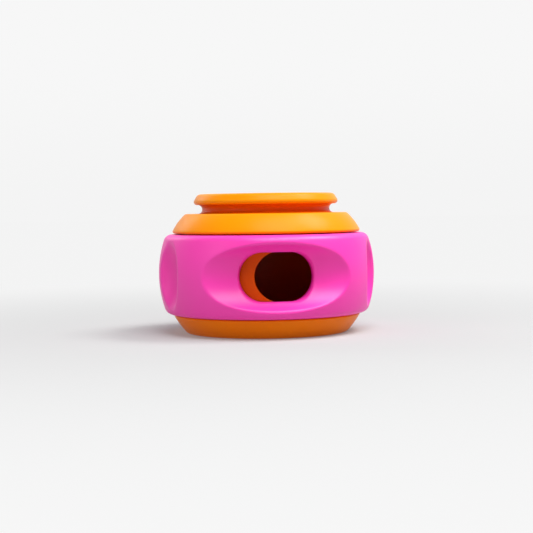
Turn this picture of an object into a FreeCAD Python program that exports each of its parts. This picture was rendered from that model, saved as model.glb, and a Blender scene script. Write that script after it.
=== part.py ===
import FreeCAD, Part
import math
import os

# A treat puzzle toy in three mouldings: an orange pot, a pink ring that turns round it, and a lid.
# Millimetres. The toy stands on the XY plane, its axis is Z, and the ring's front window faces -Y.

# Ring: a band cut from a ball, bored to turn on the drum
RING_RADIUS = 50.0
RING_HEIGHT = 36.6
RING_WALL = 11.2
RING_EDGE_ROUND = 3.6
RING_BORE_CHAMFER = 0.8

# Wide scoops, front and back, each with a window through to the drum; lands are what is left above and
# below, and the window's length is at the bore, from where its ends splay outwards, square to the ring's face
WIDE_SCOOP_ANGLES = (0.0, 180.0)
WIDE_SCOOP_LAND = 3.7
WIDE_SCOOP_DEPTH = 12.1
WINDOW_LENGTH = 31.6
WINDOW_LAND = 3.8
WINDOW_SPLAY = 24.0
WINDOW_EDGE_ROUND = 0.6

# Narrow blind scoops between the wide ones, two on each side, for fingers and paws
NARROW_SCOOP_ANGLE = 70.8
NARROW_SCOOP_WIDTH = 20.0
NARROW_SCOOP_LAND = 3.3
NARROW_SCOOP_DEPTH = 6.5
SCOOP_RIM_ROUND = 1.4

# Largest round of a scoop's rim, as a share of the strip of ball between the rim and the ring's corner
RIM_ROUND_PER_STRIP = 1.8

# Pot: flared base flange with the hollow drum on it, and a spigot that the lid fits over
BASE_HEIGHT = 8.7
BASE_SETBACK = 2.9
BASE_FLARE = 6.3
BASE_SWELL = 0.35
BASE_FOOT_ROUND = 2.4
BASE_TOP_ROUND = 0.6
DRUM_WALL = 3.0
FLOOR_THICKNESS = 4.0
FLOOR_CORNER_ROUND = 3.0
TREAT_HOLE_LENGTH = 32.0
TREAT_HOLE_HEIGHT = 22.8
TREAT_HOLE_TURN = 10.4
SPIGOT_HEIGHT = 4.5
SPIGOT_WALL = 1.8
SPIGOT_LEAD_IN = 0.5

# Lid: sloping shoulder, waisted neck and lip
SHOULDER_HEIGHT = 8.9
SHOULDER_SETBACK = 2.5
SHOULDER_RUN = 6.5
SHOULDER_SWELL = 0.7
SHOULDER_TOP_ROUND = 2.0
SHOULDER_EDGE_ROUND = 0.9
NECK_SETBACK = 8.0
NECK_HEIGHT = 4.1
LIP_HEIGHT = 4.9
LIP_OVERHANG = 4.9
LIP_RUN = 2.9
LIP_EDGE_ROUND = 1.4
LIP_TOP_ROUND = 2.4
LID_RIM_WIDTH = 5.0
LID_DISH_DEPTH = 0.8
LID_WALL = 3.0

# Clearances
RING_CLEARANCE = 0.3
RING_GAP_BELOW = 0.3
RING_GAP_ABOVE = 0.4
LID_CLEARANCE = 0.2
LID_SEAT_GAP = 0.1
LID_CEILING_GAP = 0.3

# Places that follow from the sizes above
RING_BORE_RADIUS = RING_RADIUS - RING_WALL
RING_END_RADIUS = math.sqrt(RING_RADIUS ** 2 - (RING_HEIGHT / 2) ** 2)
WIDE_SCOOP_HEIGHT = RING_HEIGHT - 2 * WIDE_SCOOP_LAND
NARROW_SCOOP_HEIGHT = RING_HEIGHT - 2 * NARROW_SCOOP_LAND
WINDOW_HEIGHT = WIDE_SCOOP_HEIGHT - 2 * WINDOW_LAND
WINDOW_BORE_DISTANCE = math.sqrt(RING_BORE_RADIUS ** 2 - (WINDOW_LENGTH / 2) ** 2)
RING_BOTTOM = BASE_HEIGHT + RING_GAP_BELOW
RING_MIDDLE = RING_BOTTOM + RING_HEIGHT / 2
BASE_TOP_RADIUS = RING_END_RADIUS - BASE_SETBACK
BASE_FOOT_RADIUS = BASE_TOP_RADIUS - BASE_FLARE
DRUM_RADIUS = RING_BORE_RADIUS - RING_CLEARANCE
CHAMBER_RADIUS = DRUM_RADIUS - DRUM_WALL
DRUM_TOP = RING_BOTTOM + RING_HEIGHT + RING_GAP_ABOVE
SPIGOT_RADIUS = CHAMBER_RADIUS + SPIGOT_WALL
SPIGOT_TOP = DRUM_TOP + SPIGOT_HEIGHT
LID_UNDERSIDE = DRUM_TOP + LID_SEAT_GAP
LID_BORE_RADIUS = SPIGOT_RADIUS + LID_CLEARANCE
SHOULDER_CEILING = SPIGOT_TOP + LID_CEILING_GAP
SHOULDER_TOP = LID_UNDERSIDE + SHOULDER_HEIGHT
SHOULDER_RADIUS = RING_END_RADIUS - SHOULDER_SETBACK
SHOULDER_TOP_RADIUS = SHOULDER_RADIUS - SHOULDER_RUN
NECK_RADIUS = SHOULDER_TOP_RADIUS - NECK_SETBACK
LIP_UNDERSIDE = SHOULDER_TOP + NECK_HEIGHT
LIP_RADIUS = NECK_RADIUS + LIP_OVERHANG
LIP_TOP_RADIUS = LIP_RADIUS - LIP_RUN
LID_TOP = LIP_UNDERSIDE + LIP_HEIGHT
LID_DISH_RADIUS = LIP_TOP_RADIUS - LID_RIM_WIDTH

# Radius of the middle of a slope's slight swell, and the extra length that carries a cutter past a face
SWELL_ROUND = 30.0
OVERCUT = 1.0
TOLERANCE = 0.001

AXIS_FOOT = FreeCAD.Vector(0, 0, 0)
AXIS_Z = FreeCAD.Vector(0, 0, 1)
AXIS_Y = FreeCAD.Vector(0, 1, 0)


def swollen(start, end, swell):
    """Corner half way from start to end, pushed out to the right of that direction."""
    along = FreeCAD.Vector(end[0] - start[0], 0, end[1] - start[1])
    along.normalize()
    middle_radius = (start[0] + end[0]) / 2 + along.z * swell
    middle_height = (start[1] + end[1]) / 2 - along.x * swell
    return (middle_radius, middle_height, SWELL_ROUND)


def fitted_tangents(points, rounds):
    """Length that each corner's round takes of its sides, shared where a side is too short."""
    count = len(points)
    tangents = []
    for i in range(count):
        to_before = points[i - 1] - points[i]
        to_after = points[(i + 1) % count] - points[i]
        tangents.append(rounds[i] / math.tan(to_before.getAngle(to_after) / 2))
    shares = [1.0] * count
    for i in range(count):
        after = (i + 1) % count
        side = (points[after] - points[i]).Length
        wanted = tangents[i] + tangents[after]
        if wanted > side:
            shares[i] = min(shares[i], side / wanted)
            shares[after] = min(shares[after], side / wanted)
    return [tangent * share for tangent, share in zip(tangents, shares)]


def turned(corners):
    """Solid turned about Z from a closed outline of (radius, height, round) corners."""
    points = [FreeCAD.Vector(radius, 0, height) for radius, height, _ in corners]
    tangents = fitted_tangents(points, [corner[2] for corner in corners])
    count = len(points)
    edges = []
    last_side = (points[0] - points[-1]).normalize()
    reached = points[-1] + last_side * tangents[-1]
    for i in range(count):
        to_before = (points[i - 1] - points[i]).normalize()
        to_after = (points[(i + 1) % count] - points[i]).normalize()
        start = points[i] + to_before * tangents[i]
        end = points[i] + to_after * tangents[i]
        if reached.distanceToPoint(start) > TOLERANCE:
            edges.append(Part.LineSegment(reached, start).toShape())
            reached = start
        if tangents[i] > 0:
            half_angle = to_before.getAngle(to_after) / 2
            inward = (to_before + to_after).normalize()
            nearest = tangents[i] * (1 - math.sin(half_angle)) / math.cos(half_angle)
            edges.append(Part.Arc(reached, points[i] + inward * nearest, end).toShape())
            reached = end
    return Part.Face(Part.Wire(edges)).revolve(AXIS_FOOT, AXIS_Z, 360)


def rounded(solid, radius, picks):
    """Rounds the edges of a solid whose middle point the test picks."""
    edges = []
    for edge in solid.Edges:
        middle = edge.valueAt((edge.FirstParameter + edge.LastParameter) / 2)
        if picks(edge, middle):
            edges.append(edge)
    return solid.makeFillet(radius, edges)


def round_from_chord(half_chord, rise):
    """Radius of the arc with this half chord and rise."""
    return (half_chord ** 2 + rise ** 2) / (2 * rise)


def sphere_depth(offset):
    """Distance from the axis plane to the ring's ball surface at this offset from the middle."""
    return math.sqrt(RING_RADIUS ** 2 - offset ** 2)


def wide_scoop_cutter(angle):
    """Level round bar that cuts the trough of a wide scoop."""
    half_height = WIDE_SCOOP_HEIGHT / 2
    floor_distance = RING_RADIUS - WIDE_SCOOP_DEPTH
    bar_radius = round_from_chord(half_height, sphere_depth(half_height) - floor_distance)
    bar_length = 2 * RING_RADIUS
    bar = Part.makeCylinder(bar_radius, bar_length, FreeCAD.Vector(0, 0, -bar_length / 2))
    bar.rotate(AXIS_FOOT, AXIS_Z, -90)
    bar.rotate(AXIS_FOOT, AXIS_Y, 90)
    bar.translate(FreeCAD.Vector(0, -floor_distance - bar_radius, 0))
    bar.rotate(AXIS_FOOT, AXIS_Z, angle)
    return bar


def narrow_scoop_cutter(angle):
    """Upright spindle that cuts a narrow scoop."""
    half_width = NARROW_SCOOP_WIDTH / 2
    half_height = NARROW_SCOOP_HEIGHT / 2
    floor_distance = RING_RADIUS - NARROW_SCOOP_DEPTH
    waist = round_from_chord(half_width, sphere_depth(half_width) - floor_distance)
    spindle_distance = floor_distance + waist
    end_rise = sphere_depth(half_height) - floor_distance
    bow = round_from_chord(half_height, end_rise)
    tip = math.sqrt(bow ** 2 - (bow - waist) ** 2)
    low = FreeCAD.Vector(0, 0, -tip)
    high = FreeCAD.Vector(0, 0, tip)
    arc = Part.Arc(low, FreeCAD.Vector(0, -waist, 0), high).toShape()
    spine = Part.LineSegment(high, low).toShape()
    spindle = Part.Face(Part.Wire([arc, spine])).revolve(AXIS_FOOT, AXIS_Z, 360)
    spindle.translate(FreeCAD.Vector(0, -spindle_distance, 0))
    spindle.rotate(AXIS_FOOT, AXIS_Z, angle)
    return spindle


def round_ended_bar(height, near, far, near_offset, far_offset):
    """Bar along -Y from near to far, its rounded ends centred at the near and far offsets."""
    radius = height / 2
    corners = [
        FreeCAD.Vector(-near_offset, -near, -radius),
        FreeCAD.Vector(near_offset, -near, -radius),
        FreeCAD.Vector(far_offset, -far, -radius),
        FreeCAD.Vector(-far_offset, -far, -radius),
    ]
    bar = Part.Face(Part.makePolygon(corners + corners[:1])).extrude(AXIS_Z * height)
    for side in (-1, 1):
        start = FreeCAD.Vector(side * near_offset, -near, 0)
        end = FreeCAD.Vector(side * far_offset, -far, 0)
        along = (end - start).normalize()
        tail = radius * abs(along.x / along.y)
        length = (end - start).Length + tail
        bar = bar.fuse(Part.makeCylinder(radius, length, start - along * tail, along))
    return bar.removeSplitter()


def window_end_centre(distance):
    """Offset of the centre line of the window's rounded ends at this distance from the axis."""
    splay = math.radians(WINDOW_SPLAY)
    at_bore = WINDOW_LENGTH / 2 - WINDOW_HEIGHT / 2 / math.cos(splay)
    return at_bore + (distance - WINDOW_BORE_DISTANCE) * math.tan(splay)


def window_cutter(angle):
    """Bar with splayed ends that opens a window through the ring's wall."""
    near = WINDOW_BORE_DISTANCE - OVERCUT
    far = RING_RADIUS + OVERCUT
    bar = round_ended_bar(WINDOW_HEIGHT, near, far, window_end_centre(near), window_end_centre(far))
    bar.rotate(AXIS_FOOT, AXIS_Z, angle)
    return bar


def treat_hole_cutter():
    """Level bar that opens the treat hole through the drum, turned so that the window bares part of it."""
    end_offset = (TREAT_HOLE_LENGTH - TREAT_HOLE_HEIGHT) / 2
    bar = round_ended_bar(TREAT_HOLE_HEIGHT, OVERCUT, DRUM_RADIUS + OVERCUT, end_offset, end_offset)
    bar.rotate(AXIS_FOOT, AXIS_Z, TREAT_HOLE_TURN)
    bar.translate(FreeCAD.Vector(0, 0, RING_MIDDLE))
    return bar


def ring_band():
    """Ring before its scoops: a bored band of the ball with rounded outer corners."""
    top = RING_HEIGHT / 2
    bore = RING_BORE_RADIUS
    chamfer = RING_BORE_CHAMFER
    round_height = top - RING_EDGE_ROUND
    to_ball = RING_RADIUS - RING_EDGE_ROUND
    round_radius = math.sqrt(to_ball ** 2 - round_height ** 2)
    halfway = (math.atan2(round_height, round_radius) + math.pi / 2) / 2
    round_start = FreeCAD.Vector(round_radius, 0, round_height) * (RING_RADIUS / to_ball)
    round_middle = FreeCAD.Vector(
        round_radius + RING_EDGE_ROUND * math.cos(halfway), 0,
        round_height + RING_EDGE_ROUND * math.sin(halfway))
    round_end = FreeCAD.Vector(round_radius, 0, top)
    waist = FreeCAD.Vector(RING_RADIUS, 0, 0)
    bore_corners = [FreeCAD.Vector(bore + chamfer, 0, top), FreeCAD.Vector(bore, 0, top - chamfer)]

    def below(point):
        return FreeCAD.Vector(point.x, 0, -point.z)

    outline = [
        Part.Arc(below(round_start), waist, round_start),
        Part.Arc(round_start, round_middle, round_end),
        Part.LineSegment(round_end, bore_corners[0]),
        Part.LineSegment(bore_corners[0], bore_corners[1]),
        Part.LineSegment(bore_corners[1], below(bore_corners[1])),
        Part.LineSegment(below(bore_corners[1]), below(bore_corners[0])),
        Part.LineSegment(below(bore_corners[0]), below(round_end)),
        Part.Arc(below(round_end), below(round_middle), below(round_start)),
    ]
    wire = Part.Wire([curve.toShape() for curve in outline])
    return Part.Face(wire).revolve(AXIS_FOOT, AXIS_Z, 360)


def scoop_rim_round():
    """Round of the scoops' rims, limited by the strip of ball that is left above the tallest scoop."""
    strip_top = (RING_HEIGHT / 2 - RING_EDGE_ROUND) * RING_RADIUS / (RING_RADIUS - RING_EDGE_ROUND)
    strip = strip_top - max(WIDE_SCOOP_HEIGHT, NARROW_SCOOP_HEIGHT) / 2
    return min(SCOOP_RIM_ROUND, RIM_ROUND_PER_STRIP * strip)


def window_ring():
    """The pink ring in its place at rest."""
    ring = ring_band()
    for angle in WIDE_SCOOP_ANGLES:
        ring = ring.cut(wide_scoop_cutter(angle))
        for side in (-1, 1):
            ring = ring.cut(narrow_scoop_cutter(angle + side * NARROW_SCOOP_ANGLE))

    def is_scoop_rim(edge, middle):
        on_ball = abs(middle.Length - RING_RADIUS) < TOLERANCE
        return on_ball and edge.BoundBox.YLength > TOLERANCE and edge.BoundBox.ZLength > TOLERANCE

    ring = rounded(ring, scoop_rim_round(), is_scoop_rim)
    for angle in WIDE_SCOOP_ANGLES:
        ring = ring.cut(window_cutter(angle))

    def is_window_rim(edge, middle):
        past_centre = (abs(middle.x) - window_end_centre(abs(middle.y))) * math.cos(math.radians(WINDOW_SPLAY))
        on_outline = abs(math.hypot(max(past_centre, 0), middle.z) - WINDOW_HEIGHT / 2) < TOLERANCE
        outside = math.hypot(middle.x, middle.y) > RING_BORE_RADIUS + TOLERANCE
        across = edge.BoundBox.XLength > TOLERANCE or edge.BoundBox.ZLength > TOLERANCE
        return on_outline and outside and across

    ring = rounded(ring, WINDOW_EDGE_ROUND, is_window_rim)
    ring.translate(FreeCAD.Vector(0, 0, RING_MIDDLE))
    return ring


def drum_base():
    """The orange pot: flange, drum, spigot, chamber and treat hole."""
    foot = (BASE_FOOT_RADIUS, 0)
    brim = (BASE_TOP_RADIUS, BASE_HEIGHT)
    pot = turned([
        (0, 0, 0),
        (*foot, BASE_FOOT_ROUND),
        swollen(foot, brim, BASE_SWELL),
        (*brim, BASE_TOP_ROUND),
        (DRUM_RADIUS, BASE_HEIGHT, 0),
        (DRUM_RADIUS, DRUM_TOP, 0),
        (SPIGOT_RADIUS, DRUM_TOP, 0),
        (SPIGOT_RADIUS, SPIGOT_TOP - SPIGOT_LEAD_IN, 0),
        (SPIGOT_RADIUS - SPIGOT_LEAD_IN, SPIGOT_TOP, 0),
        (CHAMBER_RADIUS, SPIGOT_TOP, 0),
        (CHAMBER_RADIUS, FLOOR_THICKNESS, FLOOR_CORNER_ROUND),
        (0, FLOOR_THICKNESS, 0),
    ])
    return pot.cut(treat_hole_cutter())


def lid():
    """The orange lid: a thick-walled cap with a waisted neck, bored to fit over the spigot."""
    shoulder_edge = (SHOULDER_RADIUS, LID_UNDERSIDE)
    shoulder_brow = (SHOULDER_TOP_RADIUS, SHOULDER_TOP)
    neck_round = NECK_HEIGHT / 2
    neck_bore = NECK_RADIUS - LID_WALL
    neck_ceiling = LID_TOP - LID_DISH_DEPTH - LID_WALL
    return turned([
        (LID_BORE_RADIUS, LID_UNDERSIDE, 0),
        (*shoulder_edge, SHOULDER_EDGE_ROUND),
        swollen(shoulder_edge, shoulder_brow, SHOULDER_SWELL),
        (*shoulder_brow, SHOULDER_TOP_ROUND),
        (NECK_RADIUS, SHOULDER_TOP, neck_round),
        (NECK_RADIUS, LIP_UNDERSIDE, neck_round),
        (LIP_RADIUS, LIP_UNDERSIDE, LIP_EDGE_ROUND),
        (LIP_TOP_RADIUS, LID_TOP, LIP_TOP_ROUND),
        (LID_DISH_RADIUS, LID_TOP, 0),
        (LID_DISH_RADIUS - LID_DISH_DEPTH, LID_TOP - LID_DISH_DEPTH, 0),
        (0, LID_TOP - LID_DISH_DEPTH, 0),
        (0, neck_ceiling, 0),
        (neck_bore, neck_ceiling, LID_WALL / 2),
        (neck_bore, SHOULDER_CEILING, LID_WALL / 2),
        (LID_BORE_RADIUS, SHOULDER_CEILING, 0),
    ])


PARTS = {
    "drum_base": drum_base,
    "window_ring": window_ring,
    "lid": lid,
}

os.makedirs("parts", exist_ok=True)
for name, make in PARTS.items():
    solid = make()
    print(name, solid.ShapeType, len(solid.Solids), solid.isValid(), round(solid.Volume), solid.BoundBox)
    solid.exportStep("parts/" + name + ".step")
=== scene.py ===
import math

import bmesh
import bpy
import numpy as np
from mathutils import Matrix, Vector


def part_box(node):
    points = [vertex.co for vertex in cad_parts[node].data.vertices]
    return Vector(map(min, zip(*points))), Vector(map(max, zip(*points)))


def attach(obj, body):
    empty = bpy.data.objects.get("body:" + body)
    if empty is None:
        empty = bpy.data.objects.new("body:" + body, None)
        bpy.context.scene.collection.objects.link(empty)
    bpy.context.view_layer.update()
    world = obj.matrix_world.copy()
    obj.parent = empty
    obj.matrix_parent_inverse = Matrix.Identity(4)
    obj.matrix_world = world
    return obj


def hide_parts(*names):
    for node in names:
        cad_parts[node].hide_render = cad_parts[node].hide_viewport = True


# A treat puzzle toy: an orange pot, a pink ring that turns round it and an orange lid.
# Sizes are in millimetres and angles in degrees; meshes are written in metres.
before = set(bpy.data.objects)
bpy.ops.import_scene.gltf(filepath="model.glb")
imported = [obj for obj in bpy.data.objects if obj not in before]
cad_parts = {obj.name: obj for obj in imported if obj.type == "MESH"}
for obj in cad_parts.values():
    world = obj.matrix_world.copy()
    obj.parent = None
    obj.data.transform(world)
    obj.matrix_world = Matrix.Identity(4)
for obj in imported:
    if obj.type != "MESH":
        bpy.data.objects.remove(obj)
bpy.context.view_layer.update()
MM = 0.001

# Heights of the three pieces, from their parts in model.glb
BASE_BOTTOM, SPIGOT_TOP = [corner.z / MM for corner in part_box("drum_base")]
RING_BOTTOM, RING_TOP = [corner.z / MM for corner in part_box("window_ring")]
LID_UNDERSIDE, LID_TOP = [corner.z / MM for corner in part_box("lid")]

# Ring: a band cut from a ball, with scoops; lands are what a scoop or a window leaves above and below it
RING_RADIUS = 50.0
RING_WALL = 11.2
RING_EDGE_ROUND = 3.6
RING_BORE_CHAMFER = 0.8
WIDE_SCOOP_ANGLES = (0.0, 180.0)
WIDE_SCOOP_LAND = 3.7
WIDE_SCOOP_DEPTH = 12.1
WINDOW_LENGTH = 31.6
WINDOW_LAND = 3.8
WINDOW_SPLAY = 24.0
WINDOW_EDGE_ROUND = 0.6
WINDOW_BORE_ROUND = 0.3
NARROW_SCOOP_ANGLE = 70.8
NARROW_SCOOP_WIDTH = 20.0
NARROW_SCOOP_LAND = 3.3
NARROW_SCOOP_DEPTH = 6.5

# Softness of the scoop rims: a wide scoop's rim is softer at its middle than at its ends, and changes
# between these distances from the middle
WIDE_RIM_SOFTNESS = 1.3
WIDE_END_SOFTNESS = 0.5
WIDE_RIM_CHANGE_START = 4.0
WIDE_RIM_CHANGE_END = 24.0
NARROW_RIM_SOFTNESS = 1.0

# Pot
BASE_SETBACK = 2.9
BASE_FLARE = 6.3
BASE_SWELL = 0.35
BASE_FOOT_ROUND = 2.4
BASE_TOP_ROUND = 0.6
DRUM_WALL = 3.0
CHAMBER_FLOOR = 4.0
FLOOR_CORNER_ROUND = 3.0
SPIGOT_WALL = 1.8
SPIGOT_RIM_ROUND = 0.5
TREAT_HOLE_LENGTH = 32.0
TREAT_HOLE_HEIGHT = 22.8
TREAT_HOLE_TURN = 10.4
TREAT_HOLE_ROUND = 0.5

# Lid
SHOULDER_HEIGHT = 8.9
SHOULDER_SETBACK = 2.5
SHOULDER_RUN = 6.5
SHOULDER_SWELL = 0.7
SHOULDER_TOP_ROUND = 2.0
SHOULDER_EDGE_ROUND = 0.9
NECK_SETBACK = 8.0
NECK_HEIGHT = 4.1
LIP_OVERHANG = 4.9
LIP_RUN = 2.9
LIP_EDGE_ROUND = 1.4
LIP_TOP_ROUND = 2.4
LID_RIM_WIDTH = 5.0
LID_DISH_DEPTH = 0.8
LID_DISH_ROUND = 0.6
LID_WALL = 3.0

# Clearances
RING_CLEARANCE = 0.3
RING_GAP_BELOW = 0.3
RING_GAP_ABOVE = 0.4
LID_CLEARANCE = 0.2
LID_CEILING_GAP = 0.3

# Places that follow from the sizes above; the ring's skin half is the height, from the ring's middle, at
# which the ball meets the round of the ring's corner
RING_MIDDLE = (RING_BOTTOM + RING_TOP) / 2
RING_HALF = (RING_TOP - RING_BOTTOM) / 2
SKIN_HALF = (RING_HALF - RING_EDGE_ROUND) * RING_RADIUS / (RING_RADIUS - RING_EDGE_ROUND)
RING_BORE_RADIUS = RING_RADIUS - RING_WALL
RING_END_RADIUS = math.sqrt(RING_RADIUS ** 2 - RING_HALF ** 2)
WIDE_SCOOP_HEIGHT = 2 * (RING_HALF - WIDE_SCOOP_LAND)
NARROW_SCOOP_HEIGHT = 2 * (RING_HALF - NARROW_SCOOP_LAND)
WINDOW_HEIGHT = WIDE_SCOOP_HEIGHT - 2 * WINDOW_LAND
BASE_TOP = RING_BOTTOM - RING_GAP_BELOW
BASE_TOP_RADIUS = RING_END_RADIUS - BASE_SETBACK
BASE_FOOT_RADIUS = BASE_TOP_RADIUS - BASE_FLARE
DRUM_TOP = RING_TOP + RING_GAP_ABOVE
DRUM_RADIUS = RING_BORE_RADIUS - RING_CLEARANCE
CHAMBER_RADIUS = DRUM_RADIUS - DRUM_WALL
SPIGOT_RADIUS = CHAMBER_RADIUS + SPIGOT_WALL
LID_BORE_RADIUS = SPIGOT_RADIUS + LID_CLEARANCE
SHOULDER_CEILING = SPIGOT_TOP + LID_CEILING_GAP
SHOULDER_TOP = LID_UNDERSIDE + SHOULDER_HEIGHT
SHOULDER_RADIUS = RING_END_RADIUS - SHOULDER_SETBACK
SHOULDER_TOP_RADIUS = SHOULDER_RADIUS - SHOULDER_RUN
NECK_RADIUS = SHOULDER_TOP_RADIUS - NECK_SETBACK
LIP_UNDERSIDE = SHOULDER_TOP + NECK_HEIGHT
LIP_RADIUS = NECK_RADIUS + LIP_OVERHANG
LIP_TOP_RADIUS = LIP_RADIUS - LIP_RUN
LID_DISH_RADIUS = LIP_TOP_RADIUS - LID_RIM_WIDTH

# Radius of the middle of a slope's slight swell, and the largest share of a side that one round may take
SWELL_ROUND = 30.0
LARGEST_ROUND_SHARE = 0.499

# Angles that the cells round a wide scoop and round the treat hole reach to, on each side
WIDE_HALF_ANGLE = 50.0
HOLE_HALF_ANGLE = 35.0

# Fineness of the meshes: steps along them, rows over their parts, and points along the ring's corner
COLUMN_STEP = 1.25
ROWS_UP = 32
ARC_STEP = 9.0
FEWEST_ARC_STEPS = 2
EDGE_TURNS = (0, 18, 36, 54, 72, 90)
RIM_FINENESS = 0.2
RIM_ROWS = 9
SCOOP_ROWS = 12
WALL_ROWS = 5
BORE_ROWS = 10
CORNER_POINTS = 9
END_POINTS = 4
HALVINGS = 40

# Shortest radius near the axis, straight runs that get a support point near each end, and what counts
# as one point, as no length and as a sharp edge
NEAR_AXIS = 0.001
LONG_RUN = 4.0
RUN_MARGIN = 0.4
WELD_DISTANCE = 0.002
NO_LENGTH = 0.001
SHARP_ANGLE = 50

# Finish of the plastic: noise with features per metre, the band that most of the noise lies in, and how
# far the grain changes the roughness and, in millimetres, the surface
CLOUD_SCALE = 45.0
CLOUD_DETAIL = 3.0
GRAIN_SCALE = 2200.0
GRAIN_DETAIL = 2.0
NOISE_LOW = 0.3
NOISE_HIGH = 0.7
GRAIN_ROUGHNESS = 0.03
GRAIN_STRENGTH = 0.12
GRAIN_DEPTH = 0.02

# Camera of the photograph
CAMERA_AZIMUTH = -6.4
CAMERA_DISTANCE = 586.9
CAMERA_HEIGHT = 57.5
CAMERA_PITCH = 2.676
CAMERA_ROLL = 0.789
CAMERA_LENS = 85.16
SENSOR_WIDTH = 36.0

# Backdrop: grey levels at and above the horizon, the rise between them and the ambient light's colour
BACKDROP_LOW = 0.905
BACKDROP_HIGH = 0.93
BACKDROP_RISE = 0.12
AMBIENT_COLOUR = (0.15, 0.152, 0.158)

# Floor, in metres: its own paper near the toy fades into a glow that is as bright as the backdrop
FLOOR_REACH = 6.0
FLOOR_COLOUR = (0.5, 0.5, 0.5)
FLOOR_ROUGHNESS = 0.9
FLOOR_FADE_START = -0.1
FLOOR_FADE_END = 0.42
GLOW_FRONT = 0.93
GLOW_BACK = 0.9
GLOW_CHANGE_START = -0.3
GLOW_CHANGE_END = 0.1

# Lamps, in metres and watts: name, place, size and power
LAMP_TARGET = (0, 0, 0.03)
LAMPS = (
    ("key", (0.86, -0.08, 1.26), (0.6, 0.6), 17.0),
    ("fill", (0.16, -0.64, 1.26), (0.9, 0.8), 17.0),
    ("left", (-1.06, -0.59, 0.5), (0.5, 0.8), 2.0),
    ("rim", (-0.76, 0.97, 0.70), (0.5, 0.5), 2.0),
)


def material_nodes(name):
    """New material, its node tree and its Principled shader."""
    material = bpy.data.materials.new(name)
    material.use_nodes = True
    tree = material.node_tree
    return material, tree, tree.nodes["Principled BSDF"]


def noise(tree, scale, detail):
    """Noise over the object's own coordinates, with this many features per metre."""
    place = tree.nodes.new("ShaderNodeTexCoord")
    texture = tree.nodes.new("ShaderNodeTexNoise")
    texture.inputs["Scale"].default_value = scale
    texture.inputs["Detail"].default_value = detail
    tree.links.new(place.outputs["Object"], texture.inputs["Vector"])
    return texture.outputs["Fac"]


def spread(tree, value, low, high):
    """The noise value stretched between two numbers."""
    stretch = tree.nodes.new("ShaderNodeMapRange")
    stretch.inputs["From Min"].default_value = NOISE_LOW
    stretch.inputs["From Max"].default_value = NOISE_HIGH
    stretch.inputs["To Min"].default_value = low
    stretch.inputs["To Max"].default_value = high
    tree.links.new(value, stretch.inputs["Value"])
    return stretch.outputs["Result"]


def faded(tree, value, start, end):
    """Smooth ramp from 0 to 1 as the value goes from start to end."""
    fade = tree.nodes.new("ShaderNodeMapRange")
    fade.interpolation_type = "SMOOTHSTEP"
    fade.inputs["From Min"].default_value = start
    fade.inputs["From Max"].default_value = end
    tree.links.new(value, fade.inputs["Value"])
    return fade.outputs["Result"]


def blended(tree, share, first, second):
    """Colour between two, each of them a colour or a socket."""
    blend = tree.nodes.new("ShaderNodeMix")
    blend.data_type = "RGBA"
    tree.links.new(share, blend.inputs["Factor"])
    for name, colour in (("A", first), ("B", second)):
        if isinstance(colour, tuple):
            blend.inputs[name].default_value = (*colour, 1.0)
        else:
            tree.links.new(colour, blend.inputs[name])
    return blend.outputs["Result"]


def painted_shade_share(tree, heights, radii):
    """Ramp from 0 to 1, in millimetres, over these heights and these distances from the axis: the mask of a
    painted shade.
    """
    place = tree.nodes.new("ShaderNodeTexCoord")
    split = tree.nodes.new("ShaderNodeSeparateXYZ")
    tree.links.new(place.outputs["Object"], split.inputs[0])
    level = tree.nodes.new("ShaderNodeCombineXYZ")
    tree.links.new(split.outputs["X"], level.inputs["X"])
    tree.links.new(split.outputs["Y"], level.inputs["Y"])
    radius = tree.nodes.new("ShaderNodeVectorMath")
    radius.operation = "LENGTH"
    tree.links.new(level.outputs[0], radius.inputs[0])
    both = tree.nodes.new("ShaderNodeMath")
    both.operation = "MULTIPLY"
    tree.links.new(faded(tree, split.outputs["Z"], heights[0] * MM, heights[1] * MM), both.inputs[0])
    tree.links.new(faded(tree, radius.outputs["Value"], radii[0] * MM, radii[1] * MM), both.inputs[1])
    return both.outputs[0]


def satin_plastic(name, pale, deep, inner, shade_heights, shade_radii, roughness, gloss):
    """Moulded satin plastic, faintly clouded and grained, that turns to a darker inner colour along two
    ramps: a painted shade in the part's hollows and recesses.
    """
    material, tree, shader = material_nodes(name)
    clouds = spread(tree, noise(tree, CLOUD_SCALE, CLOUD_DETAIL), 0.0, 1.0)
    skin = blended(tree, clouds, deep, pale)
    # Painted shade: the inner colour is mixed in over the ramps' mask and darkens the hollows
    colour = blended(tree, painted_shade_share(tree, shade_heights, shade_radii), skin, inner)
    tree.links.new(colour, shader.inputs["Base Color"])
    grain = noise(tree, GRAIN_SCALE, GRAIN_DETAIL)
    grained = spread(tree, grain, roughness - GRAIN_ROUGHNESS, roughness + GRAIN_ROUGHNESS)
    tree.links.new(grained, shader.inputs["Roughness"])
    bump = tree.nodes.new("ShaderNodeBump")
    bump.inputs["Strength"].default_value = GRAIN_STRENGTH
    bump.inputs["Distance"].default_value = GRAIN_DEPTH * MM
    tree.links.new(grain, bump.inputs["Height"])
    tree.links.new(bump.outputs["Normal"], shader.inputs["Normal"])
    shader.inputs["Specular IOR Level"].default_value = gloss
    return material


def ring_pink():
    """Pink, with a painted shade that darkens the walls of the windows and the bore."""
    # The inner colour is painted shade on the window walls and the bore
    return satin_plastic(
        "ring_pink", pale=(0.95, 0.038, 0.43), deep=(0.93, 0.033, 0.415), inner=(0.6, 0.006, 0.2),
        shade_heights=(0.0, 1.0), shade_radii=(41.0, 39.2), roughness=0.42, gloss=0.5)


def pot_orange():
    """Orange, redder than the lid's as a painted shade for the dim flange, and darker still in painted shade
    on the drum and in its chamber.
    """
    # Both cloud tones are redder than the lid's as painted shade, and the inner colour paints the shade on
    # the drum inside the ring
    return satin_plastic(
        "pot_orange", pale=(0.94, 0.21, 0.0), deep=(0.92, 0.195, 0.0), inner=(0.66, 0.07, 0.0),
        shade_heights=(3.2, 3.8), shade_radii=(38.9, 38.6), roughness=0.36, gloss=0.1)


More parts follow.
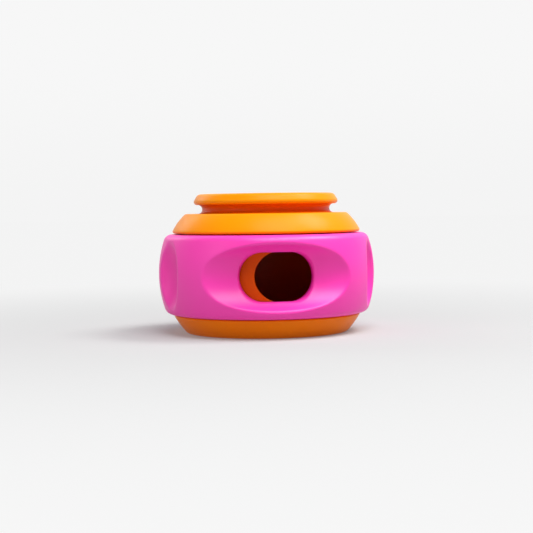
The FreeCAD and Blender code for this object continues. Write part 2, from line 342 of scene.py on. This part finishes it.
def lid_orange():
    """Yellower orange, with a painted shade that darkens it in the groove round the neck and inside the lid.
    """
    # The inner colour is painted shade in the neck's groove and inside the lid
    return satin_plastic(
        "lid_orange", pale=(0.96, 0.3, 0.0), deep=(0.95, 0.285, 0.0), inner=(0.74, 0.1, 0.0),
        shade_heights=(61.2, 59.5), shade_radii=(34.5, 30.5), roughness=0.33, gloss=0.09)


def make_piece(name, patches, material, body, node):
    """One smooth mesh from grids of points in millimetres, on its body, in place of its CAD node."""
    vertices = []
    faces = []
    for grid, closed in patches:
        rows, columns = grid.shape[:2]
        start = len(vertices)
        vertices.extend((grid.reshape(-1, 3) * MM).tolist())
        for row in range(rows - 1):
            for column in range(columns if closed else columns - 1):
                here = start + row * columns
                after = (column + 1) % columns
                faces.append((here + column, here + after, here + columns + after, here + columns + column))
    mesh = bpy.data.meshes.new(name)
    mesh.from_pydata(vertices, [], faces)
    piece = bpy.data.objects.new(name, mesh)
    bpy.context.scene.collection.objects.link(piece)
    weld(mesh)
    mesh.shade_smooth()
    mesh.set_sharp_from_angle(angle=math.radians(SHARP_ANGLE))
    mesh.materials.append(material)
    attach(piece, body)
    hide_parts(node)


def weld(mesh):
    """Joins the patches of a mesh along their shared borders and turns all faces outwards."""
    work = bmesh.new()
    work.from_mesh(mesh)
    bmesh.ops.remove_doubles(work, verts=work.verts, dist=WELD_DISTANCE * MM)
    bmesh.ops.dissolve_degenerate(work, edges=work.edges, dist=NO_LENGTH * MM)
    bmesh.ops.recalc_face_normals(work, faces=work.faces)
    work.to_mesh(mesh)
    work.free()


def swollen(start, end, swell):
    """Corner half way from start to end, pushed out to the right of that direction."""
    along = Vector((end[0] - start[0], end[1] - start[1])).normalized()
    middle_radius = (start[0] + end[0]) / 2 + along.y * swell
    middle_height = (start[1] + end[1]) / 2 - along.x * swell
    return (middle_radius, middle_height, SWELL_ROUND)


def rounded_outline(corners):
    """Points along an open outline of (radius, height, round) corners, with arcs at the rounds."""
    points = [Vector(corner[:2]) for corner in corners]
    rounds = [corner[2] for corner in corners[1:-1]]
    outline = [points[0]]
    for before, corner, after, round_size in zip(points, points[1:], points[2:], rounds):
        if not round_size:
            outline.append(corner)
            continue
        to_before = before - corner
        to_after = after - corner
        half_angle = to_before.angle(to_after) / 2
        longest = LARGEST_ROUND_SHARE * min(to_before.length, to_after.length)
        tangent = min(round_size / math.tan(half_angle), longest)
        radius = tangent * math.tan(half_angle)
        inward = (to_before.normalized() + to_after.normalized()).normalized()
        centre = corner + inward * radius / math.sin(half_angle)
        start = corner + to_before.normalized() * tangent - centre
        end = corner + to_after.normalized() * tangent - centre
        turn = start.angle_signed(end)
        steps = max(FEWEST_ARC_STEPS, math.ceil(abs(math.degrees(turn)) / ARC_STEP))
        for step in range(steps + 1):
            arm = Matrix.Rotation(-turn * step / steps, 2) @ start
            outline.append(centre + arm)
    outline.append(points[-1])
    return flat_runs(outline)


def flat_runs(outline):
    """Outline with a point near both ends of its long straight runs, so that they are shaded flat."""
    points = [outline[0]]
    for start, end in zip(outline, outline[1:]):
        run = end - start
        if run.length > LONG_RUN:
            margin = run.normalized() * RUN_MARGIN
            points += [start + margin, end - margin]
        points.append(end)
    return points


def turned(outline, angles):
    """Grid of an outline turned about the axis, with a column at each angle."""
    radii = np.array([point[0] for point in outline])[:, None]
    heights = np.array([point[1] for point in outline])[:, None]
    turn = np.radians(angles)[None, :]
    return np.stack([radii * np.sin(turn), -radii * np.cos(turn), heights + 0 * turn], axis=-1)


def whole_turn():
    """Columns all the way round."""
    return np.arange(0.0, 360.0, COLUMN_STEP)


def between(start, end):
    """Columns from one angle to another, both included."""
    return np.linspace(start, end, round((end - start) / COLUMN_STEP) + 1)


def spun(grid, angle):
    """Grid turned about the axis."""
    cosine = math.cos(math.radians(angle))
    sine = math.sin(math.radians(angle))
    x, y, z = grid[..., 0], grid[..., 1], grid[..., 2]
    return np.stack([cosine * x - sine * y, sine * x + cosine * y, z], axis=-1)


def raised(grid):
    """Grid moved up from the ring's middle to its place."""
    return grid + np.array((0.0, 0.0, RING_MIDDLE))


def bisect(low, high, test):
    """Where the test turns from below nought to above it, for each pair of ends."""
    low, high = np.broadcast_arrays(np.asarray(low, float), np.asarray(high, float))
    for _ in range(HALVINGS):
        middle = (low + high) / 2
        outside = test(middle) > 0
        high = np.where(outside, middle, high)
        low = np.where(outside, low, middle)
    return (low + high) / 2


def round_from_chord(half_chord, rise):
    """Radius of the arc with this half chord and rise."""
    return (half_chord ** 2 + rise ** 2) / (2 * rise)


def ball_radius_at(offset):
    """Radius of the ring's ball at this distance from its middle, up or across."""
    return np.sqrt(RING_RADIUS ** 2 - offset ** 2)


def above_ball(x, y, z):
    """How far a point is outside the ring's ball."""
    return np.sqrt(x * x + y * y + z * z) - RING_RADIUS


def in_wide_scoop(x, y, z):
    """How far a point is inside the level trough of a wide scoop that faces -Y."""
    floor = RING_RADIUS - WIDE_SCOOP_DEPTH
    half_height = WIDE_SCOOP_HEIGHT / 2
    radius = round_from_chord(half_height, ball_radius_at(half_height) - floor)
    return radius - np.hypot(y + floor + radius, z)


def in_narrow_scoop(x, y, z):
    """How far a point is inside the upright spindle of a narrow scoop that faces -Y."""
    floor = RING_RADIUS - NARROW_SCOOP_DEPTH
    half_width = NARROW_SCOOP_WIDTH / 2
    half_height = NARROW_SCOOP_HEIGHT / 2
    waist = round_from_chord(half_width, ball_radius_at(half_width) - floor)
    bow = round_from_chord(half_height, ball_radius_at(half_height) - floor)
    return bow - np.hypot(np.hypot(x, y + floor + waist) + bow - waist, z)


def rounded_or(first, second, softness):
    """Outside either of two surfaces, with the edge between them rounded."""
    inside = np.minimum(np.maximum(first, second), -softness)
    return inside + np.hypot(np.maximum(first + softness, 0), np.maximum(second + softness, 0))


def wide_skin(x, y, z):
    """Above nought outside the ring's skin round a wide scoop."""
    change = WIDE_RIM_CHANGE_END - WIDE_RIM_CHANGE_START
    toward_end = np.clip((np.abs(x) - WIDE_RIM_CHANGE_START) / change, 0.0, 1.0)
    smooth = toward_end ** 2 * (3 - 2 * toward_end)
    softness = WIDE_RIM_SOFTNESS + (WIDE_END_SOFTNESS - WIDE_RIM_SOFTNESS) * smooth
    return rounded_or(above_ball(x, y, z), in_wide_scoop(x, y, z), softness)


def narrow_skin(x, y, z):
    """Above nought outside the ring's skin round a narrow scoop."""
    return rounded_or(above_ball(x, y, z), in_narrow_scoop(x, y, z), NARROW_RIM_SOFTNESS)


def cell_border(radius_at, start, end, half_height):
    """(x, z) of points round the border of a cell, anticlockwise seen from outside."""
    across = between(start, end)
    up = np.linspace(-half_height, half_height, ROWS_UP + 1)
    angle = np.concatenate([across[:-1], np.full(ROWS_UP, end), across[:0:-1], np.full(ROWS_UP, start)])
    level = np.full(len(across) - 1, half_height)
    height = np.concatenate([-level, up[:-1], level, up[:0:-1]])
    return np.stack([radius_at(height) * np.sin(np.radians(angle)), height], axis=-1)


def window_gap(x, y, z):
    """Distance outside the window's wall, whose rounded ends splay outwards."""
    splay = math.radians(WINDOW_SPLAY)
    bore_distance = math.sqrt(RING_BORE_RADIUS ** 2 - (WINDOW_LENGTH / 2) ** 2)
    at_bore = WINDOW_LENGTH / 2 - WINDOW_HEIGHT / 2 / math.cos(splay)
    centre = at_bore + (-y - bore_distance) * math.tan(splay)
    return np.hypot(np.maximum(np.abs(x) - centre, 0) * math.cos(splay), z) - WINDOW_HEIGHT / 2


def treat_hole_gap(x, y, z):
    """Distance outside the treat hole's wall, which is the same at every y."""
    centre = (TREAT_HOLE_LENGTH - TREAT_HOLE_HEIGHT) / 2
    return np.hypot(np.maximum(np.abs(x) - centre, 0), z) - TREAT_HOLE_HEIGHT / 2


def along_rays(border, test):
    """Share of each ray from the middle to the border at which the test turns above nought."""
    return bisect(0.0, 1.0, lambda share: test(share * border[:, 0], share * border[:, 1]))


def graded(start, end, lengths, count):
    """Shares of rays of these lengths from start to end, the first step about as long as the fineness."""
    span = np.abs(end - start) * lengths
    power = np.maximum(np.log(span / RIM_FINENESS) / math.log(count), 1.0)
    steps = (np.arange(1, count + 1) / count)[:, None] ** power
    return start + (end - start) * steps


def skin_depth(skin):
    """Surface of a skin that faces -Y: its y at x and z, this far below it."""
    return lambda x, z, inset: -bisect(0.0, RING_RADIUS + 1, lambda depth: skin(x, -depth, z) + inset)


def cylinder_depth(radius, side):
    """Surface of a cylinder about the axis: material lies inside it if side is -1 and outside it if 1."""
    return lambda x, z, inset: -np.sqrt((radius + side * inset) ** 2 - x * x)


def surface_rows(shares, border, surface, inset=0.0):
    """Points on a surface, at these shares of the rays of a cell that faces -Y."""
    x = shares * border[:, 0]
    z = shares * border[:, 1]
    return np.stack([x, surface(x, z, inset), z], axis=-1)


def edge_shares(border, gap, surface, softness, turn):
    """Shares and inset of a row of a hole's rounded edge: turn 0 is on the surface, 90 on the wall."""
    inset = softness * (1 - math.cos(math.radians(turn)))
    offset = softness * (1 - math.sin(math.radians(turn)))
    return along_rays(border, lambda x, z: gap(x, surface(x, z, inset), z) - offset), inset


def edge_rows(border, gap, surface, softness, turns):
    """Rows over a hole's rounded edge."""
    rows = []
    for turn in turns:
        shares, inset = edge_shares(border, gap, surface, softness, turn)
        rows.append(surface_rows(shares[None, :], border, surface, inset))
    return np.concatenate(rows)


def blend_rows(start, end, count):
    """Rows straight from one row of points to another, both included."""
    return start + (end - start) * np.linspace(0, 1, count)[:, None, None]


def cylinder_rows(hole_row, border, radius):
    """Rows on a cylinder from a hole's edge to the border of its cell."""
    flat = blend_rows(hole_row[:, [0, 2]], border, BORE_ROWS)
    x, z = flat[..., 0], flat[..., 1]
    return np.stack([x, -np.sqrt(radius ** 2 - x ** 2), z], axis=-1)


def hole_patches(border, gap, surface, softness, bore_border, bore_radius, bore_softness):
    """Grids of a hole's edge, its wall, its inner edge and the bore round it."""
    edge = edge_rows(border, gap, surface, softness, EDGE_TURNS)
    bore = cylinder_depth(bore_radius, 1)
    inner_edge = edge_rows(border, gap, bore, bore_softness, EDGE_TURNS[::-1])
    wall = blend_rows(edge[-1], inner_edge[0], WALL_ROWS)
    return [edge, wall, inner_edge, cylinder_rows(inner_edge[-1], bore_border, bore_radius)]


def rim_shares(border, scoop):
    """Shares of the rays of a cell at which its scoop cuts the ball."""
    return along_rays(border, lambda x, z: -scoop(x, -np.sqrt(RING_RADIUS ** 2 - x * x - z * z), z))


def scoop_rows(border, skin, rim, middle):
    """Rows of the ring's skin from a cell's border over its scoop's rim to its middle, finest at the rim."""
    lengths = np.hypot(border[:, 0], border[:, 1])
    outer = graded(rim, np.ones_like(rim), lengths, RIM_ROWS)[::-1]
    inner = graded(rim, middle, lengths, SCOOP_ROWS)
    return surface_rows(np.concatenate([outer, rim[None, :], inner]), border, skin)


def wide_cell():
    """Grids of the ring round a wide scoop that faces -Y, with its window."""
    border = cell_border(ball_radius_at, -WIDE_HALF_ANGLE, WIDE_HALF_ANGLE, SKIN_HALF)
    bore_half = RING_HALF - RING_BORE_CHAMFER
    bore_border = cell_border(lambda height: RING_BORE_RADIUS, -WIDE_HALF_ANGLE, WIDE_HALF_ANGLE, bore_half)
    skin = skin_depth(wide_skin)
    window_edge, _ = edge_shares(border, window_gap, skin, WINDOW_EDGE_ROUND, EDGE_TURNS[0])
    rows = scoop_rows(border, skin, rim_shares(border, in_wide_scoop), window_edge)
    return [rows] + hole_patches(
        border, window_gap, skin, WINDOW_EDGE_ROUND, bore_border, RING_BORE_RADIUS, WINDOW_BORE_ROUND)


def narrow_cell(side):
    """Grid of the ring round a narrow scoop that faces -Y, between its wide scoop and the ring's side."""
    start, end = sorted([side * (WIDE_HALF_ANGLE - NARROW_SCOOP_ANGLE), side * (90 - NARROW_SCOOP_ANGLE)])
    border = cell_border(ball_radius_at, start, end, SKIN_HALF)
    rim = rim_shares(border, in_narrow_scoop)
    return scoop_rows(border, skin_depth(narrow_skin), rim, np.zeros_like(rim))


def corner_and_end(side):
    """Outline from the ball's edge over the corner to the bore, above if side is 1 and below if -1."""
    round_height = RING_HALF - RING_EDGE_ROUND
    round_radius = math.sqrt((RING_RADIUS - RING_EDGE_ROUND) ** 2 - round_height ** 2)
    ball_angle = math.atan2(round_height, round_radius)
    outline = []
    for angle in np.linspace(ball_angle, math.pi / 2, CORNER_POINTS):
        radius = round_radius + RING_EDGE_ROUND * math.cos(angle)
        outline.append((radius, side * (round_height + RING_EDGE_ROUND * math.sin(angle))))
    for radius in np.linspace(round_radius, RING_BORE_RADIUS + RING_BORE_CHAMFER, END_POINTS)[1:]:
        outline.append((radius, side * RING_HALF))
    outline.append((RING_BORE_RADIUS, side * (RING_HALF - RING_BORE_CHAMFER)))
    return outline


def ring_patches():
    """Grids of the ring, about its own middle."""
    patches = []
    bore_half = RING_HALF - RING_BORE_CHAMFER
    bore_outline = [(RING_BORE_RADIUS, height) for height in np.linspace(-bore_half, bore_half, ROWS_UP + 1)]
    wide = wide_cell()
    for angle in WIDE_SCOOP_ANGLES:
        patches += [(spun(grid, angle), True) for grid in wide]
        for side in (-1, 1):
            patches.append((spun(narrow_cell(side), angle + side * NARROW_SCOOP_ANGLE), True))
        between_windows = between(angle + WIDE_HALF_ANGLE, angle + 180 - WIDE_HALF_ANGLE)
        patches.append((turned(bore_outline, between_windows), False))
    for side in (-1, 1):
        patches.append((turned(corner_and_end(side), whole_turn()), True))
    return patches


def make_ring():
    """The pink ring, with its scoops and windows."""
    patches = [(raised(grid), closed) for grid, closed in ring_patches()]
    make_piece("ring_shell", patches, ring_pink(), "ring", "window_ring")


def drum_front():
    """Grids of the drum's wall round the treat hole, about the ring's middle, with the hole at -Y."""
    half_height = (DRUM_TOP - BASE_TOP) / 2
    lift = (DRUM_TOP + BASE_TOP) / 2 - RING_MIDDLE

    def border_at(radius):
        border = cell_border(lambda height: radius, -HOLE_HALF_ANGLE, HOLE_HALF_ANGLE, half_height)
        border[:, 1] += lift
        return border

    border = border_at(DRUM_RADIUS)
    hole = hole_patches(
        border, treat_hole_gap, cylinder_depth(DRUM_RADIUS, -1), TREAT_HOLE_ROUND,
        border_at(CHAMBER_RADIUS), CHAMBER_RADIUS, TREAT_HOLE_ROUND)
    hole_row = hole[0][0]
    return [cylinder_rows(hole_row, border, DRUM_RADIUS)] + hole


def make_pot():
    """The orange pot: flange, drum with its treat hole, spigot and chamber."""
    foot = (BASE_FOOT_RADIUS, BASE_BOTTOM)
    brim = (BASE_TOP_RADIUS, BASE_TOP)
    outside = rounded_outline([
        (NEAR_AXIS, BASE_BOTTOM, 0),
        (*foot, BASE_FOOT_ROUND),
        swollen(foot, brim, BASE_SWELL),
        (*brim, BASE_TOP_ROUND),
        (DRUM_RADIUS, BASE_TOP, 0),
    ])
    spigot = rounded_outline([
        (DRUM_RADIUS, DRUM_TOP, 0),
        (SPIGOT_RADIUS, DRUM_TOP, 0),
        (SPIGOT_RADIUS, SPIGOT_TOP, SPIGOT_RIM_ROUND),
        (CHAMBER_RADIUS, SPIGOT_TOP, SPIGOT_RIM_ROUND),
        (CHAMBER_RADIUS, DRUM_TOP, 0),
    ])
    inside = rounded_outline([
        (CHAMBER_RADIUS, BASE_TOP, 0),
        (CHAMBER_RADIUS, CHAMBER_FLOOR, FLOOR_CORNER_ROUND),
        (NEAR_AXIS, CHAMBER_FLOOR, 0),
    ])
    patches = [(turned(outline, whole_turn()), True) for outline in (outside, spigot, inside)]
    heights = np.linspace(BASE_TOP, DRUM_TOP, ROWS_UP + 1)
    past_hole = between(HOLE_HALF_ANGLE, 360 - HOLE_HALF_ANGLE)
    for radius in (DRUM_RADIUS, CHAMBER_RADIUS):
        wall = turned([(radius, height) for height in heights], past_hole)
        patches.append((spun(wall, TREAT_HOLE_TURN), False))
    patches += [(spun(raised(grid), TREAT_HOLE_TURN), True) for grid in drum_front()]
    make_piece("pot_shell", patches, pot_orange(), "pot", "drum_base")


def make_lid():
    """The orange lid: shoulder, waisted neck and lip, hollow and bored to fit over the spigot."""
    shoulder_edge = (SHOULDER_RADIUS, LID_UNDERSIDE)
    shoulder_brow = (SHOULDER_TOP_RADIUS, SHOULDER_TOP)
    neck_round = NECK_HEIGHT / 2
    neck_bore = NECK_RADIUS - LID_WALL
    neck_ceiling = LID_TOP - LID_DISH_DEPTH - LID_WALL
    outline = rounded_outline([
        (NEAR_AXIS, neck_ceiling, 0),
        (neck_bore, neck_ceiling, LID_WALL / 2),
        (neck_bore, SHOULDER_CEILING, LID_WALL / 2),
        (LID_BORE_RADIUS, SHOULDER_CEILING, 0),
        (LID_BORE_RADIUS, LID_UNDERSIDE, 0),
        (*shoulder_edge, SHOULDER_EDGE_ROUND),
        swollen(shoulder_edge, shoulder_brow, SHOULDER_SWELL),
        (*shoulder_brow, SHOULDER_TOP_ROUND),
        (NECK_RADIUS, SHOULDER_TOP, neck_round),
        (NECK_RADIUS, LIP_UNDERSIDE, neck_round),
        (LIP_RADIUS, LIP_UNDERSIDE, LIP_EDGE_ROUND),
        (LIP_TOP_RADIUS, LID_TOP, LIP_TOP_ROUND),
        (LID_DISH_RADIUS, LID_TOP, LID_DISH_ROUND),
        (LID_DISH_RADIUS - LID_DISH_DEPTH, LID_TOP - LID_DISH_DEPTH, LID_DISH_ROUND),
        (NEAR_AXIS, LID_TOP - LID_DISH_DEPTH, 0),
    ])
    patches = [(turned(outline, whole_turn()), True)]
    make_piece("lid_shell", patches, lid_orange(), "cap", "lid")


def make_camera():
    """Camera at the photograph's place, level with the lid's neck and tipped slightly down."""
    data = bpy.data.cameras.new("camera")
    data.sensor_width = SENSOR_WIDTH
    data.lens = CAMERA_LENS
    camera = bpy.data.objects.new("camera", data)
    bpy.context.scene.collection.objects.link(camera)
    azimuth = math.radians(CAMERA_AZIMUTH)
    across = CAMERA_DISTANCE * math.sin(azimuth)
    back = -CAMERA_DISTANCE * math.cos(azimuth)
    place = Matrix.Translation(Vector((across, back, CAMERA_HEIGHT)) * MM)
    look = Matrix.Rotation(azimuth, 4, "Z") @ Matrix.Rotation(math.radians(90 - CAMERA_PITCH), 4, "X")
    camera.matrix_world = place @ look @ Matrix.Rotation(math.radians(-CAMERA_ROLL), 4, "Z")
    bpy.context.scene.camera = camera


def area_lamp(name, place, size, power):
    """Softbox that shines at the toy."""
    data = bpy.data.lights.new(name, "AREA")
    data.shape = "RECTANGLE"
    data.size, data.size_y = size
    data.energy = power
    lamp = bpy.data.objects.new(name, data)
    bpy.context.scene.collection.objects.link(lamp)
    lamp.location = place
    lamp.rotation_euler = (Vector(LAMP_TARGET) - Vector(place)).to_track_quat("-Z", "Y").to_euler()


def mixed(tree, share, first, second):
    """Shader that goes from the first to the second."""
    mix = tree.nodes.new("ShaderNodeMixShader")
    tree.links.new(share, mix.inputs["Fac"])
    tree.links.new(first, mix.inputs[1])
    tree.links.new(second, mix.inputs[2])
    return mix.outputs[0]


def larger(tree, first, second):
    """Larger of two values."""
    choice = tree.nodes.new("ShaderNodeMath")
    choice.operation = "MAXIMUM"
    tree.links.new(first, choice.inputs[0])
    tree.links.new(second, choice.inputs[1])
    return choice.outputs[0]


def grey(tree, kind, level):
    """Shader of this kind that shows a grey level."""
    shader = tree.nodes.new(kind)
    shader.inputs["Color"].default_value = (level, level, level, 1.0)
    return shader.outputs[0]


def make_world():
    """Pale backdrop for the camera and for reflections, brighter above; dimmer light for the rest."""
    world = bpy.data.worlds.new("studio")
    bpy.context.scene.world = world
    world.use_nodes = True
    tree = world.node_tree
    ambient = tree.nodes["Background"]
    ambient.inputs["Color"].default_value = (*AMBIENT_COLOUR, 1.0)
    direction = tree.nodes.new("ShaderNodeTexCoord")
    split = tree.nodes.new("ShaderNodeSeparateXYZ")
    tree.links.new(direction.outputs["Generated"], split.inputs[0])
    upwards = faded(tree, split.outputs["Z"], 0.0, BACKDROP_RISE)
    low = grey(tree, "ShaderNodeBackground", BACKDROP_LOW)
    high = grey(tree, "ShaderNodeBackground", BACKDROP_HIGH)
    shown = mixed(tree, upwards, low, high)
    path = tree.nodes.new("ShaderNodeLightPath")
    reflected = larger(tree, path.outputs["Is Glossy Ray"], path.outputs["Is Transmission Ray"])
    seen = larger(tree, path.outputs["Is Camera Ray"], reflected)
    surface = mixed(tree, seen, ambient.outputs[0], shown)
    tree.links.new(surface, tree.nodes["World Output"].inputs["Surface"])


def make_floor():
    """Pale floor that keeps the toy's shadow near it and turns into the backdrop further out."""
    mesh = bpy.data.meshes.new("floor")
    corners = [(x * FLOOR_REACH, y * FLOOR_REACH, 0) for x, y in ((-1, -1), (1, -1), (1, 1), (-1, 1))]
    mesh.from_pydata(corners, [], [(0, 1, 2, 3)])
    floor = bpy.data.objects.new("floor", mesh)
    bpy.context.scene.collection.objects.link(floor)
    material, tree, shader = material_nodes("floor_paper")
    shader.inputs["Base Color"].default_value = (*FLOOR_COLOUR, 1.0)
    shader.inputs["Roughness"].default_value = FLOOR_ROUGHNESS
    shader.inputs["Specular IOR Level"].default_value = 0.0
    place = tree.nodes.new("ShaderNodeTexCoord")
    distance = tree.nodes.new("ShaderNodeVectorMath")
    distance.operation = "LENGTH"
    tree.links.new(place.outputs["Object"], distance.inputs[0])
    split = tree.nodes.new("ShaderNodeSeparateXYZ")
    tree.links.new(place.outputs["Object"], split.inputs[0])
    backwards = faded(tree, split.outputs["Y"], GLOW_CHANGE_START, GLOW_CHANGE_END)
    front = grey(tree, "ShaderNodeEmission", GLOW_FRONT)
    back = grey(tree, "ShaderNodeEmission", GLOW_BACK)
    away = faded(tree, distance.outputs["Value"], FLOOR_FADE_START, FLOOR_FADE_END)
    surface = mixed(tree, away, shader.outputs[0], mixed(tree, backwards, front, back))
    tree.links.new(surface, tree.nodes["Material Output"].inputs["Surface"])
    mesh.materials.append(material)


make_camera()
make_world()
make_floor()
for lamp_values in LAMPS:
    area_lamp(*lamp_values)
make_ring()
make_pot()
make_lid()

bpy.context.scene.view_settings.view_transform = "Standard"
